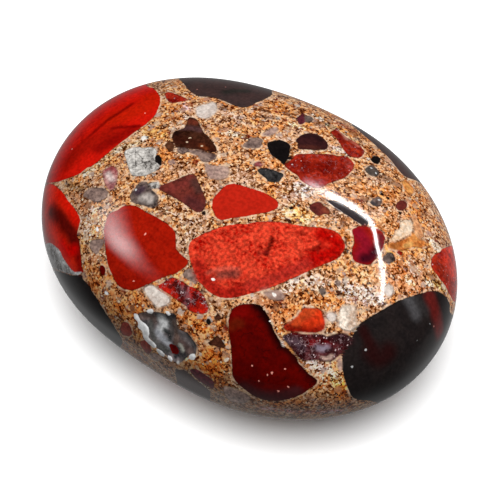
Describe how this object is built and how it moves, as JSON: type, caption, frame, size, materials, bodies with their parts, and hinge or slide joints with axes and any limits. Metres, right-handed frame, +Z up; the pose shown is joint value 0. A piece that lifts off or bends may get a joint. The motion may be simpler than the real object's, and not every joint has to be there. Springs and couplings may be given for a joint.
{
  "type": "spotted jasper palm stone",
  "caption": "Polished oval palm stone of jasper conglomerate, red, black and grey pebbles in sandy matrix, to hold or lay on a shelf.",
  "frame": {"origin": "middle of the resting spot, under the centre of the stone", "axes": "+X along the length of the oval, +Y across its width, +Z up through the crown"},
  "size_m": [0.064, 0.0486, 0.027],
  "materials": {
    "polished_conglomerate": "high polish"
  },
  "bodies": {
    "root": {"palm_stone": "polished_conglomerate"}
  },
  "joints": []
}
